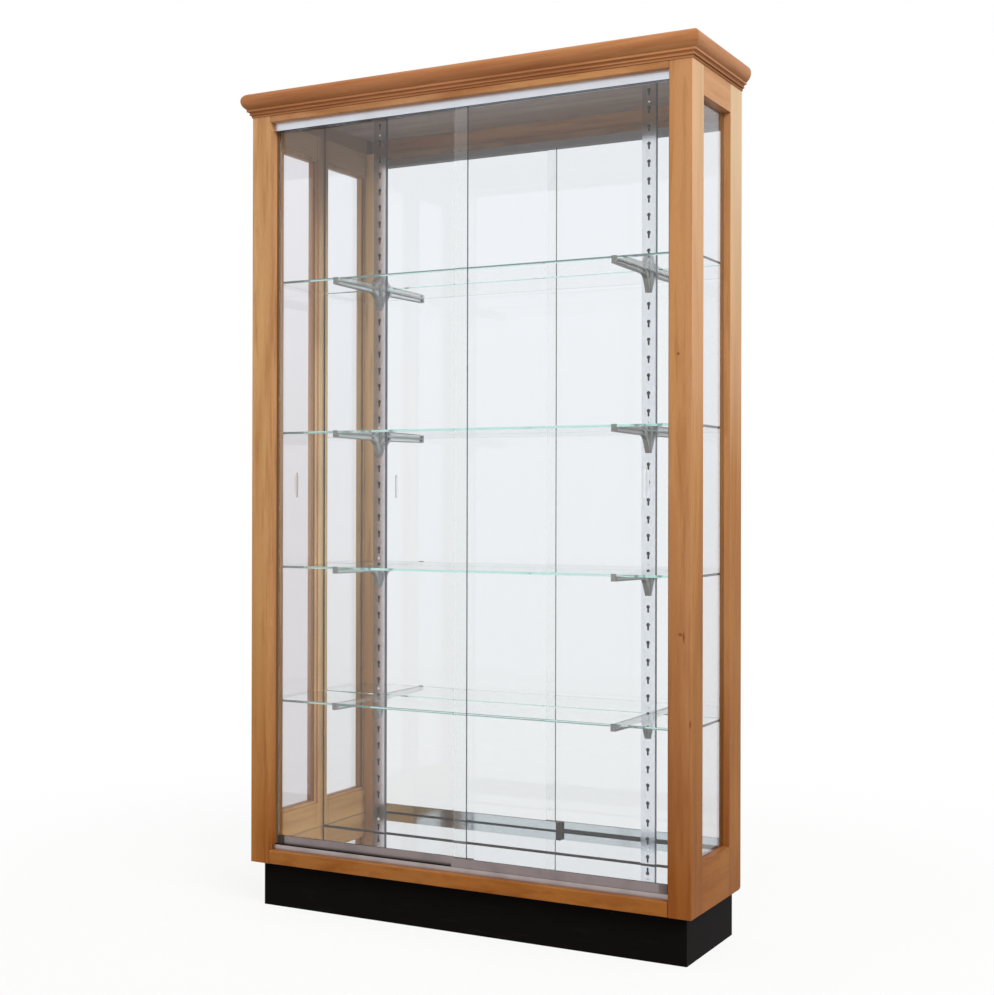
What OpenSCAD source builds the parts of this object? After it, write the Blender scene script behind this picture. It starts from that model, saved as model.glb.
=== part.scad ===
// Free-standing glass display cabinet: a wooden case on a toe box, with glazed sides, a mirror back,
// two sliding glass doors and four glass shelves on cast brackets.
// X runs to the right, Y to the back and Z up. The origin is on the floor, under the middle of the
// overall box. Depths in the values below are measured back from the front face of the posts.

/* [Case] */
// Width over the two side frames
body_w = 1219; // [1120:1:1400]
// Depth from the front face of the posts to the back
body_d = 334; // [325:1:400]
// Height from the toe box to the underside of the crown
case_h = 1937; // [1900:1:2100]
// Width of a front post, seen from the front
post_w = 57; // [50:1:70]
// Depth of a front post, seen from the side
post_d = 71; // [68:1:80]
// Depth of a back stile, seen from the side
stile_d = 82; // [65:1:95]
// Thickness of a side frame
side_t = 32; // [30:1:36]
// Thickness of the wood outside the side glass
lip_t = 15; // [14:0.5:18]
// Width of the rebate that takes the side glass
rebate = 8; // [6:1:11]
// Height of the top rail of a side frame
side_top_h = 69; // [50:1:100]
// Height of the bottom rail of a side frame
side_bottom_h = 118; // [90:1:150]
// Height of the rail over the doors
front_top_h = 17; // [14:1:40]
// Height of the rail under the doors
front_bottom_h = 34; // [30:1:50]
// Depth of the rails over and under the doors
front_rail_d = 42; // [42:1:50]
// Length of the tenons that join the rails to the posts and stiles
tenon_l = 20; // [10:1:25]
// Thickness of those tenons
tenon_t = 8; // [6:0.5:10]
// Shoulder above and below each tenon
tenon_shoulder = 4; // [3:0.5:4.5]
// Radius on the long edges of the wood
ease_r = 1.8; // [1:0.1:3]
// Radius on the lower back corner of a back stile
heel_r = 12; // [6:1:20]

/* [Toe box] */
// Height of the toe box
plinth_h = 115; // [80:1:150]
// Set-back of the toe box under the front
plinth_inset_front = 31; // [20:1:50]
// Set-back of the toe box under each side
plinth_inset_side = 22; // [14:1:30]
// Thickness of a toe board
plinth_t = 19; // [15:1:22]

/* [Crown] */
// Height of the crown moulding
crown_h = 62; // [58:1:72]
// Radius of the round nose at the top of the crown
nose_r = 20; // [17:0.5:21]
// How far the nose's centre lies outside the case
nose_out = 3; // [2:0.5:5]
// Radius of the nose's flatter underside
flank_r = 26; // [23:1:32]
// Radius of the hollow between the two small steps under the nose
cove_r = 4.5; // [3.5:0.5:5.5]
// Width of the ledge that carries the top panel
top_ledge = 12; // [8:1:16]
// Thickness of the top panel
top_t = 19; // [15:1:22]
// How far the top panel lies below the top of the crown
top_drop = 3; // [1:1:8]

/* [Floor and back] */
// Thickness of the bottom panel
bottom_t = 19; // [15:1:22]
// How far the deck panel rises above the rail under the doors
deck_step = 5; // [4:0.5:8]
// Thickness of the deck mirror and the back mirror
mirror_t = 6; // [4:0.5:8]
// Gap around the edge of the back mirror
mirror_gap = 3.5; // [2:0.5:6]
// Thickness of the back panel
back_t = 18; // [16:1:20]
// Thickness of the rails behind the back panel
back_rail_t = 28; // [20:1:32]
// Height of the lower rail behind the back panel
back_rail_h = 100; // [60:1:140]
// How far the upper rail behind the back panel reaches below the crown
back_drop = 100; // [60:1:140]

/* [Glass] */
// Thickness of the side glass
side_glass_t = 5; // [4:0.5:6]
// Thickness of the beads inside the side glass
bead_t = 7; // [5:0.5:8]
// Thickness of the door glass
door_glass_t = 6; // [5:0.5:6]
// Thickness of a shelf
shelf_t = 6; // [5:0.5:10]

/* [Door track] */
// Depth of the front edge of the tracks
track_y = 15.3; // [12:0.1:16]
// Clear width of one channel
channel_w = 10.6; // [10.4:0.1:11]
// Thickness of the upright legs of the tracks
track_leg_t = 1.4; // [1:0.1:1.6]
// Thickness of the flat web of the tracks
track_web_t = 1.6; // [1.2:0.1:2.5]
// Height of the top track
top_track_h = 20.5; // [16:0.5:26]
// Height of the bottom track
bottom_track_h = 14; // [12:0.5:16]
// Width of the rib that the rollers run on
rib_w = 2.4; // [2:0.1:3]
// Height of the rib that the rollers run on
rib_h = 1.2; // [0.8:0.1:1.6]
// Thickness of the jamb strips on the posts
jamb_t = 7; // [5:0.5:9]
// Width of the jamb strips
jamb_w = 8; // [6:0.5:9]

/* [Doors] */
// Overlap of the two doors where they meet
door_overlap = 31; // [25:1:50]
// Height of the shoe under a door
shoe_h = 32; // [30:0.5:36]
// Width of the shoe under a door
shoe_w = 9.6; // [9.4:0.1:9.8]
// Height of the shoe's foot above the web of the track
shoe_rise = 1.9; // [1.6:0.1:2.5]
// Thickness of the web inside the shoe, which carries the glass
shoe_web_t = 1.8; // [1.4:0.1:2.5]
// How far the shoe reaches past the glass where the doors meet
shoe_reach = 3.6; // [2:0.1:6]
// Length of the block at the outer end of a shoe
outer_block_l = 21; // [15:1:30]
// Length of the block at the inner end of the rear door's shoe
inner_block_l = 14.4; // [8:0.1:20]
// How far a door reaches up into the top track, with room left to lift it out
door_entry = 8; // [6:0.5:8.5]
// Radius of a roller
roller_r = 7; // [6:0.1:7.2]
// Width of a roller
roller_w = 4.6; // [4:0.1:5]
// Radius of a roller's pin
roller_pin_r = 1.5; // [1:0.1:2]
// Distance of each roller from its end of the shoe
roller_inset = 62; // [40:1:120]
// Height of a finger pull
pull_h = 68; // [50:1:90]
// Width of a finger pull
pull_w = 12; // [8:1:16]
// Depth of a finger pull
pull_depth = 2; // [1:0.1:2.5]
// Distance of a finger pull from the door's outer edge
pull_inset = 54; // [40:1:90]
// Height of the middle of a finger pull above the floor
pull_z = 1096; // [900:1:1200]

/* [Standards] */
// Distance of each standard's middle from the side frame
standard_inset = 186.5; // [150:0.5:280]
// Width of a standard
standard_w = 37; // [30:1:42]
// How far a standard stands out from the mirror
standard_h = 6; // [5:0.5:8]
// Thickness of a standard's metal
standard_t = 1.6; // [1.2:0.1:2]
// Gap between a standard's lower end and the deck
standard_lift = 3; // [2.5:0.5:5]
// Spacing of the keyhole slots
slot_pitch = 43.9; // [42:0.1:48]
// Height of the first slot above the deck
slot_first = 15.5; // [15:0.5:30]
// Length of a slot
slot_l = 19; // [17:0.5:21]
// Width of a slot's round head
slot_head_w = 9.4; // [9:0.1:10.5]
// Width of a slot's narrow foot
slot_foot_w = 5; // [4.8:0.1:5.6]
// Radius of a screw's shank
screw_r = 1.75; // [1.5:0.05:2]
// Radius of a screw's head
screw_head_r = 3.5; // [3:0.1:4.5]
// Length of a screw
screw_l = 25; // [20:1:27]

/* [Shelves] */
// Slot that carries the lowest shelf, counted from 0 at the deck
shelf_slot_1 = 8; // [4:1:11]
// Slot that carries the second shelf
shelf_slot_2 = 16; // [14:1:19]
// Slot that carries the third shelf
shelf_slot_3 = 24; // [22:1:28]
// Slot that carries the highest shelf
shelf_slot_4 = 33; // [31:1:38]
// Gap between a shelf and each side frame
shelf_gap = 2; // [1:0.5:20]
// Gap between a shelf's front edge and the back of the posts
shelf_setback = 4; // [1:0.5:20]
// Corner radius of a shelf
shelf_corner_r = 3; // [1:1:10]

/* [Brackets] */
// Width of a bracket's arm
bracket_w = 12.5; // [10:0.5:14]
// Width of the plate that lies on the standard
plate_w = 15.5; // [15:0.5:18]
// Thickness of that plate
plate_t = 3; // [2:0.1:4]
// Height of the plate above the shelf's underside
plate_up = 4; // [2:0.5:12]
// Reach of the plate below its lower stud
plate_foot = 4.5; // [3:0.5:8]
// Depth of the arm at its tip
arm_tip_h = 11; // [9:0.5:13]
// Depth of the arm at the leg
arm_root_h = 13.5; // [12:0.5:18]
// Reach of the leg at the arm
leg_top_d = 27.5; // [22:0.5:36]
// Reach of the leg at its foot
leg_foot_d = 5; // [4:0.5:8]
// Radius between the arm and the leg
gusset_r = 25; // [15:1:35]
// Thickness of the lip that holds the shelf's front edge
lip_hook_t = 4; // [3:0.5:5]
// Height of the lip above the shelf
lip_hook_up = 1; // [0.5:0.5:3]
// Thickness of the web between the hollows of a bracket
bracket_web_t = 3.5; // [2.5:0.5:6]
// Width of the rim around the hollows of a bracket
bracket_rim = 2.6; // [2:0.1:4]
// Radius of a stud's shank
stud_r = 2.3; // [2:0.1:2.4]
// Radius of a stud's head
stud_head_r = 4.2; // [3.5:0.1:4.4]
// Thickness of a stud's head
stud_head_t = 1.8; // [1.5:0.1:2.2]
// Depth of the upper stud below the shelf's underside
stud_drop = 7; // [5:0.5:9]

/* [Hidden] */

// Facets of the round parts
round_fn = 48;
// Gap between wooden and glass pieces that are slid together
fit_gap = 0.5;
// Running gap between pieces that move past each other
run_gap = 0.3;
// Radial play of a pin or screw in its hole
hole_play = 0.05;
// Overshoot of a cut past the face that it opens
cut = 1;

// Case
half_w = body_w / 2;
inner_x = half_w - side_t;
post_x = half_w - post_w;
post_back = post_d - rebate;
case_top = plinth_h + case_h;
total_h = case_top + crown_h;
crown_out = nose_out + nose_r;
front_y = (crown_out - body_d) / 2;
stile_y = body_d - stile_d;
window_bottom = plinth_h + side_bottom_h;
window_top = case_top - side_top_h;
glass_x = half_w - lip_t - side_glass_t;
bead_x = glass_x - bead_t;

// Back, floor and ceiling
back_y = body_d - back_rail_t - back_t;
mirror_y = back_y - mirror_t;
floor_z = plinth_h + bottom_t;
rail_z = plinth_h + front_bottom_h;
deck_z = rail_z + deck_step + mirror_t;
ceiling_z = total_h - top_drop - top_t;

// Doors
track_w = 2 * channel_w + 3 * track_leg_t;
door_pitch = channel_w + track_leg_t;
front_door_y = track_y + track_leg_t + channel_w / 2;
rear_door_y = front_door_y + door_pitch;
head_z = case_top - front_top_h;
door_outer_x = post_x - jamb_t - run_gap;
door_w = door_outer_x + door_overlap / 2;
shoe_outer_x = door_outer_x - outer_block_l;
shoe_inner_x = -door_overlap / 2 - shoe_reach;
shoe_z = rail_z + track_web_t + shoe_rise;
roller_z = rail_z + track_web_t + rib_h + run_gap + roller_r;
shoe_web_z = roller_z + roller_r + cut;
glass_z = shoe_web_z + shoe_web_t;
door_top_z = head_z - top_track_h + door_entry;
shoe_slot_w = door_glass_t + 2 * hole_play;
roller_outer_x = shoe_outer_x - roller_inset;
roller_inner_x = shoe_inner_x + roller_inset;

// Standards, brackets and shelves
standard_x = inner_x - standard_inset;
standard_y = mirror_y - standard_h;
slot_z = deck_z + slot_first;
slot_count = floor((ceiling_z - slot_z - slot_l) / slot_pitch) + 1;
slot_seat = slot_l / 2 - slot_foot_w / 2;
shelf_slots = [shelf_slot_1, shelf_slot_2, shelf_slot_3, shelf_slot_4];
screw_slots = concat([0], shelf_slots, [slot_count - 2]);
plate_down = stud_drop + slot_pitch + plate_foot;
shelf_y = post_back + shelf_setback;
shelf_back_y = standard_y - plate_t - fit_gap;
arm_l = standard_y - shelf_y;

// Height of a slot's middle
function slot_at(n) = slot_z + n * slot_pitch;
// Height of the underside of the shelf whose brackets hang in slot n
function shelf_z(n) = slot_at(n) - slot_seat + stud_drop;

// Unit vector from point a to point b
function aim(a, b) = (b - a) / norm(b - a);

// Moves depths measured from the front face into the part's own frame
module at_case() { translate([0, front_y, 0]) children(); }

// A box between two corners, in depths from the front face
module block(low, high) { translate(low) cube(high - low); }

// What a round edge of radius r takes off a corner that points to +x, +y
module corner_waste(r) {
    difference() {
        translate([-r, -r]) square([r + cut, r + cut]);
        translate([-r, -r]) circle(r = r, $fn = round_fn);
    }
}

module wood() { color([0.76, 0.55, 0.36]) children(); }
module black_board() { color([0.06, 0.055, 0.055]) children(); }
module panel_board() { color([0.55, 0.42, 0.30]) children(); }
module clear_glass() { color([0.80, 0.90, 0.88, 0.4]) children(); }
module silver_mirror() { color([0.88, 0.91, 0.93]) children(); }
module aluminium() { color([0.72, 0.72, 0.74]) children(); }
module black_nylon() { color([0.10, 0.10, 0.10]) children(); }
module steel() { color([0.62, 0.64, 0.66]) children(); }

// Toe box: the front and back boards run between the side boards
module toe_side() {
    x = half_w - plinth_inset_side;
    at_case() black_board()
        block([x - plinth_t, plinth_inset_front, 0], [x, body_d, plinth_h]);
}
module toe_cross(y) {
    x = half_w - plinth_inset_side - plinth_t;
    at_case() black_board() block([-x, y, 0], [x, y + plinth_t, plinth_h]);
}
module plinth_front() { toe_cross(plinth_inset_front); }
module plinth_back() { toe_cross(body_d - plinth_t); }
module plinth_right() { toe_side(); }
module plinth_left() { mirror([1, 0, 0]) toe_side(); }

// Tenons of one side rail, reaching into the post and the stile
module side_tenons(low, high) {
    x = half_w - lip_t / 2;
    block(
        [x - tenon_t / 2, post_d - tenon_l, low + 2 * tenon_shoulder],
        [x + tenon_t / 2, stile_y + tenon_l, high - 2 * tenon_shoulder]
    );
}
module all_side_tenons() {
    side_tenons(window_top, case_top);
    side_tenons(plinth_h, window_bottom);
}
// Tenons of one front rail, reaching into both posts
module front_tenons(low, high) {
    x = post_x + tenon_l;
    y = front_rail_d / 2;
    block(
        [-x, y - tenon_t / 2, low + tenon_shoulder], [x, y + tenon_t / 2, high - tenon_shoulder]
    );
}
module all_front_tenons() {
    front_tenons(head_z, case_top);
    front_tenons(plinth_h, rail_z);
}

// Front post: a full corner, rebated at the back for the side glass and mortised for four tenons
module front_post() {
    at_case() wood() difference() {
        translate([0, 0, plinth_h]) linear_extrude(case_h) difference() {
            polygon([
                [post_x, 0], [half_w, 0], [half_w, post_d], [half_w - lip_t, post_d],
                [half_w - lip_t, post_back], [post_x, post_back]
            ]);
            translate([half_w, 0]) mirror([0, 1]) corner_waste(ease_r);
            translate([post_x, 0]) rotate(180) corner_waste(ease_r);
            translate([post_x, post_back]) mirror([1, 0]) corner_waste(ease_r);
        }
        all_side_tenons();
        all_front_tenons();
    }
}
module right_front_post() { front_post(); }
module left_front_post() { mirror([1, 0, 0]) front_post(); }

// Back stile: rebated in front for the side glass, with a rounded heel at the floor
module back_stile() {
    at_case() wood() difference() {
        translate([0, 0, plinth_h]) linear_extrude(case_h) difference() {
            polygon([
                [inner_x, stile_y + rebate], [half_w - lip_t, stile_y + rebate],
                [half_w - lip_t, stile_y], [half_w, stile_y], [half_w, body_d], [inner_x, body_d]
            ]);
            translate([half_w, body_d]) corner_waste(ease_r);
        }
        translate([inner_x - cut, body_d, plinth_h]) rotate([90, 0, 90])
            linear_extrude(side_t + 2 * cut) mirror([0, 1]) corner_waste(heel_r);
        all_side_tenons();
    }
}
module right_back_stile() { back_stile(); }
module left_back_stile() { mirror([1, 0, 0]) back_stile(); }

// Side rail: its outer layer fills between post and stile, its inner layer is cut back
// by the rebate on the window's side
module side_rail(outer_low, outer_high, inner_low, inner_high) {
    at_case() wood() union() {
        block([half_w - lip_t, post_d, outer_low], [half_w, stile_y, outer_high]);
        block([inner_x, post_back, inner_low], [half_w - lip_t, stile_y + rebate, inner_high]);
        side_tenons(outer_low, outer_high);
    }
}
module side_top_rail() { side_rail(window_top, case_top, window_top + rebate, case_top); }
module side_bottom_rail() {
    side_rail(plinth_h, window_bottom, plinth_h, window_bottom - rebate);
}
module right_side_top_rail() { side_top_rail(); }
module left_side_top_rail() { mirror([1, 0, 0]) side_top_rail(); }
module right_side_bottom_rail() { side_bottom_rail(); }
module left_side_bottom_rail() { mirror([1, 0, 0]) side_bottom_rail(); }

// Side glass, bedded in the rebate with a small gap at its edges
module side_glass() {
    at_case() clear_glass() block(
        [glass_x, post_back + fit_gap, window_bottom - rebate + fit_gap],
        [glass_x + side_glass_t, stile_y + rebate - fit_gap, window_top + rebate - fit_gap]
    );
}
module right_side_glass() { side_glass(); }
module left_side_glass() { mirror([1, 0, 0]) side_glass(); }

// One glazing bead, along +z, with its rounded corner towards the room and the window
module bead(length) {
    linear_extrude(length) difference() {
        square([bead_t, rebate]);
        translate([0, rebate]) mirror([1, 0]) corner_waste(bead_t / 2);
    }
}
module glazing_beads() {
    low = window_bottom - rebate;
    high = window_top + rebate;
    at_case() wood() {
        translate([bead_x, post_back, low]) bead(high - low);
        translate([bead_x, stile_y + rebate, high]) rotate([180, 0, 0]) bead(high - low);
        translate([bead_x, stile_y, low]) rotate([90, 0, 0]) bead(stile_y - post_d);
        translate([bead_x, post_d, high]) rotate([-90, 0, 0]) bead(stile_y - post_d);
    }
}
module right_glazing_beads() { glazing_beads(); }
module left_glazing_beads() { mirror([1, 0, 0]) glazing_beads(); }

// Rails over and under the doors, between the posts
module front_rail(low, high) {
    at_case() wood() union() {
        translate([-post_x, 0, 0]) rotate([90, 0, 90]) linear_extrude(2 * post_x) difference() {
            translate([0, low]) square([front_rail_d, high - low]);
            translate([0, low]) rotate(180) corner_waste(ease_r);
            translate([0, high]) mirror([1, 0]) corner_waste(ease_r);
        }
        front_tenons(low, high);
    }
}
module front_top_rail() { front_rail(head_z, case_top); }
module front_bottom_rail() { front_rail(plinth_h, rail_z); }

// Rails behind the back panel, between the stiles
module back_rail(low, high) {
    x = inner_x - fit_gap;
    at_case() wood() block([-x, back_y + back_t, low], [x, body_d, high]);
}
module back_top_rail() { back_rail(case_top - back_drop, ceiling_z); }
module back_bottom_rail() { back_rail(floor_z, floor_z + back_rail_h); }

// A floor layer: notched round the posts, and running back to the depth given
module floor_layer(low, high, back, gap) {
    x_front = post_x - gap;
    x_back = inner_x - gap;
    notch = post_back + gap;
    translate([0, 0, low]) linear_extrude(high - low) polygon([
        [-x_front, front_rail_d], [x_front, front_rail_d], [x_front, notch], [x_back, notch],
        [x_back, back], [-x_back, back], [-x_back, notch], [-x_front, notch]
    ]);
}
module bottom_panel() { at_case() panel_board() floor_layer(plinth_h, floor_z, body_d, fit_gap); }
module deck_panel() {
    at_case() panel_board() floor_layer(floor_z, deck_z - mirror_t, back_y, fit_gap);
}
module deck_mirror() {
    at_case() silver_mirror() floor_layer(deck_z - mirror_t, deck_z, mirror_y, mirror_gap / 2);
}

// Holes for the screws that hold the standards
module screw_holes() {
    for (side = [-1, 1], n = screw_slots)
        translate([side * standard_x, standard_y, slot_at(n) + slot_pitch / 2]) rotate([-90, 0, 0])
            cylinder(r = screw_r + hole_play, h = screw_l + cut, $fn = round_fn);
}
module back_panel() {
    x = inner_x - fit_gap;
    at_case() panel_board() difference() {
        block([-x, back_y, floor_z], [x, back_y + back_t, ceiling_z]);
        screw_holes();
    }
}
module back_mirror() {
    x = inner_x - mirror_gap;
    at_case() silver_mirror() difference() {
        block([-x, mirror_y, deck_z + mirror_gap], [x, back_y, ceiling_z - fit_gap]);
        screw_holes();
    }
}

// Top panel: dropped into the ledge of the crown and screwed down on the back rail
module top_panel() {
    x = inner_x + top_ledge - fit_gap;
    at_case() panel_board() block(
        [-x, side_t - top_ledge + fit_gap, ceiling_z],
        [x, body_d, ceiling_z + top_t]
    );
}

// Section of the crown: x is measured out from the face of the case and y up from its foot
module crown_section() {
    foot = 2;
    foot_h = 6;
    ledge = 1;
    low_step_out = foot + 4;
    low_step_top = foot_h + 4;
    cove_out = low_step_out - ledge + cove_r;
    cove_top = low_step_top + cove_r;
    step_out = cove_out + 2 * ledge;
    step_top = cove_top + 5;
    nose_z = crown_h - nose_r;
    difference() {
        union() {
            translate([-side_t, 0]) square([side_t + foot, crown_h]);
            translate([0, foot_h]) square([low_step_out, low_step_top - foot_h]);
            difference() {
                translate([0, low_step_top]) square([cove_out, cove_r]);
                translate([cove_out, low_step_top]) circle(r = cove_r, $fn = round_fn);
            }
            translate([0, cove_top]) square([step_out, step_top - cove_top]);
            intersection() {
                translate([0, step_top]) square([nose_out + nose_r, nose_z - step_top]);
                translate([nose_out + nose_r - flank_r, nose_z])
                    circle(r = flank_r, $fn = 2 * round_fn);
            }
            translate([0, nose_z]) square([nose_out, nose_r]);
            intersection() {
                translate([0, nose_z]) square([nose_out + nose_r, nose_r]);
                translate([nose_out, nose_z]) circle(r = nose_r, $fn = 2 * round_fn);
            }
        }
        translate([-side_t - cut, ceiling_z - case_top])
            square([top_ledge + cut, crown_h]);
    }
}
// The front length is mitred at both ends, and the side lengths at the front
module crown_front() {
    reach = crown_out + cut;
    at_case() wood() translate([0, 0, case_top]) intersection() {
        translate([half_w + reach, 0, 0]) rotate([90, 0, -90])
            linear_extrude(2 * (half_w + reach)) crown_section();
        linear_extrude(crown_h) polygon([
            [-half_w - reach, -reach], [half_w + reach, -reach],
            [inner_x, side_t], [-inner_x, side_t]
        ]);
    }
}
module crown_side() {
    reach = crown_out + cut;
    at_case() wood() translate([0, 0, case_top]) intersection() {
        translate([half_w, body_d, 0]) rotate([90, 0, 0])
            linear_extrude(body_d + reach) crown_section();
        linear_extrude(crown_h) polygon([
            [half_w + reach, -reach], [half_w + reach, body_d], [inner_x, body_d], [inner_x, side_t]
        ]);
    }
}
module crown_right() { crown_side(); }
module crown_left() { mirror([1, 0, 0]) crown_side(); }

// Section of a track, from its web upwards: three legs make two channels
module track_section(height) {
    square([track_w, track_web_t]);
    for (n = [0:2]) translate([n * door_pitch, 0]) square([track_leg_t, height]);
}
module along_doors() {
    x = post_x - fit_gap;
    at_case() aluminium() translate([-x, track_y, 0]) rotate([90, 0, 90]) linear_extrude(2 * x)
        children();
}
module top_track() {
    along_doors() translate([0, head_z]) mirror([0, 1]) track_section(top_track_h);
}
module bottom_track() {
    along_doors() translate([0, rail_z]) {
        track_section(bottom_track_h);
        for (n = [0, 1])
            translate([track_leg_t + channel_w / 2 + n * door_pitch - rib_w / 2, 0])
                square([rib_w, track_web_t + rib_h]);
    }
}

// Jamb strip: closes the gap between a post and the edge of the door that meets it
module jamb_strip(y) {
    low = rail_z + bottom_track_h + run_gap;
    high = head_z - top_track_h - run_gap;
    at_case() black_nylon()
        block([post_x - jamb_t, y - jamb_w / 2, low], [post_x, y + jamb_w / 2, high]);
}
module right_jamb_strip() { jamb_strip(front_door_y); }
module left_jamb_strip() { mirror([1, 0, 0]) jamb_strip(rear_door_y); }

// Keyhole: a round head above a narrow foot, drawn in the plane of the standard
module keyhole() {
    head = slot_l / 2 - slot_head_w / 2;
    translate([0, head]) circle(r = slot_head_w / 2, $fn = round_fn);
    translate([0, -slot_seat]) circle(r = slot_foot_w / 2, $fn = round_fn);
    translate([-slot_foot_w / 2, -slot_seat]) square([slot_foot_w, head + slot_seat]);
}
// Standard: a shallow channel with its web to the front, slotted all the way up
module standard() {
    low = deck_z + standard_lift;
    high = ceiling_z - fit_gap;
    at_case() steel() difference() {
        translate([standard_x - standard_w / 2, standard_y, low])
            cube([standard_w, standard_h, high - low]);
        translate([standard_x - standard_w / 2 + standard_t, standard_y + standard_t, low - cut])
            cube([standard_w - 2 * standard_t, standard_h, high - low + 2 * cut]);
        for (n = [0:slot_count - 1])
            translate([standard_x, standard_y + standard_t + cut, slot_at(n)]) rotate([90, 0, 0])
                linear_extrude(standard_t + 2 * cut) keyhole();
        screw_holes();
    }
}
module right_standard() { standard(); }
module left_standard() { mirror([1, 0, 0]) standard(); }

// Screws through both standards and the mirror into the back panel
module standard_screws() {
    head_t = 1.6;
    at_case() steel() for (side = [-1, 1], n = screw_slots)
        translate([side * standard_x, standard_y, slot_at(n) + slot_pitch / 2])
            rotate([-90, 0, 0]) {
                cylinder(r = screw_r, h = screw_l, $fn = round_fn);
                translate([0, 0, -head_t]) cylinder(r = screw_head_r, h = head_t, $fn = round_fn);
            }
}

// Side view of a bracket: x is measured out from the standard and y up from the shelf's underside
module bracket_side() {
    tip = [arm_l + lip_hook_t, -arm_tip_h];
    root = [leg_top_d, -arm_root_h];
    foot = [leg_foot_d, -plate_down];
    along_arm = aim(root, tip);
    along_leg = aim(root, foot);
    half_angle = acos(along_arm * along_leg) / 2;
    run = gusset_r / tan(half_angle);
    centre = root + aim([0, 0], along_arm + along_leg) * gusset_r / sin(half_angle);
    difference() {
        polygon([
            [0, 0], [arm_l + lip_hook_t, 0], tip, root + along_arm * run, root + along_leg * run,
            foot, [0, -plate_down]
        ]);
        translate(centre) circle(r = gusset_r, $fn = 2 * round_fn);
    }
    translate([arm_l, -arm_tip_h]) square([lip_hook_t, arm_tip_h + shelf_t + lip_hook_up]);
}
// Hollows in each cheek of a bracket: one along the arm and one in the leg
module bracket_hollows() {
    rim = bracket_rim;
    arm_start = leg_top_d + 4 * rim;
    arm_end = arm_l - 2 * rim;
    drop = (arm_root_h - arm_tip_h) / (arm_l + lip_hook_t - leg_top_d);
    polygon([
        [arm_start, -rim], [arm_end, -rim],
        [arm_end, -arm_tip_h + rim - drop * (arm_l + lip_hook_t - arm_end)],
        [arm_start, -arm_root_h + rim + drop * (arm_start - leg_top_d)]
    ]);
    polygon([
        [plate_t + rim, -rim], [leg_top_d + 2 * rim, -rim],
        [leg_top_d - rim, -arm_root_h], [plate_t + rim, -arm_root_h - 4 * rim]
    ]);
}
// Bracket: a cast arm and leg on a plate, with two headed studs that drop into the slots
module bracket(n) {
    hollow = (bracket_w - bracket_web_t) / 2;
    plate_h = plate_up + plate_down - plate_w / 2;
    at_case() aluminium() translate([standard_x, standard_y, shelf_z(n)]) {
        difference() {
            translate([bracket_w / 2, 0, 0]) rotate([90, 0, -90])
                linear_extrude(bracket_w) bracket_side();
            for (x = [bracket_w / 2 + cut, hollow - bracket_w / 2])
                translate([x, 0, 0]) rotate([90, 0, -90])
                    linear_extrude(hollow + cut) bracket_hollows();
        }
        translate([-plate_w / 2, -plate_t, -plate_down]) cube([plate_w, plate_t, plate_h]);
        translate([0, 0, plate_up - plate_w / 2]) rotate([90, 0, 0])
            cylinder(r = plate_w / 2, h = plate_t, $fn = round_fn);
        for (k = [0, 1]) translate([0, -cut, -stud_drop - k * slot_pitch]) rotate([-90, 0, 0]) {
            cylinder(r = stud_r, h = cut + standard_t + run_gap + stud_head_t, $fn = round_fn);
            translate([0, 0, cut + standard_t + run_gap])
                cylinder(r = stud_head_r, h = stud_head_t, $fn = round_fn);
        }
    }
}
module bracket_1_right() { bracket(shelf_slot_1); }
module bracket_2_right() { bracket(shelf_slot_2); }
module bracket_3_right() { bracket(shelf_slot_3); }
module bracket_4_right() { bracket(shelf_slot_4); }
module bracket_1_left() { mirror([1, 0, 0]) bracket(shelf_slot_1); }
module bracket_2_left() { mirror([1, 0, 0]) bracket(shelf_slot_2); }
module bracket_3_left() { mirror([1, 0, 0]) bracket(shelf_slot_3); }
module bracket_4_left() { mirror([1, 0, 0]) bracket(shelf_slot_4); }

// Shelf: plain glass with rounded corners, lying on its two brackets
module shelf(n) {
    width = 2 * (inner_x - shelf_gap);
    depth = shelf_back_y - shelf_y;
    at_case() clear_glass()
        translate([0, shelf_y + depth / 2, shelf_z(n)]) linear_extrude(shelf_t) difference() {
            square([width, depth], center = true);
            for (side_x = [-1, 1], side_y = [-1, 1]) scale([side_x, side_y])
                translate([width / 2, depth / 2]) corner_waste(shelf_corner_r);
        }
}
module shelf_1() { shelf(shelf_slot_1); }
module shelf_2() { shelf(shelf_slot_2); }
module shelf_3() { shelf(shelf_slot_3); }
module shelf_4() { shelf(shelf_slot_4); }

// Doors are drawn for the right-hand side, at the depth of their channel
module door_glass(y) {
    groove_r = (pull_w * pull_w / 4 + pull_depth * pull_depth) / (2 * pull_depth);
    groove_half = pull_h / 2 - pull_w / 2;
    front = y - door_glass_t / 2;
    at_case() clear_glass() difference() {
        block(
            [door_outer_x - door_w, front, glass_z],
            [door_outer_x, front + door_glass_t, door_top_z]
        );
        translate([door_outer_x - pull_inset, front - groove_r + pull_depth, pull_z]) {
            translate([0, 0, -groove_half])
                cylinder(r = groove_r, h = 2 * groove_half, $fn = 2 * round_fn);
            for (side = [-1, 1]) translate([0, 0, side * groove_half])
                sphere(r = groove_r, $fn = 2 * round_fn);
        }
    }
}
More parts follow.
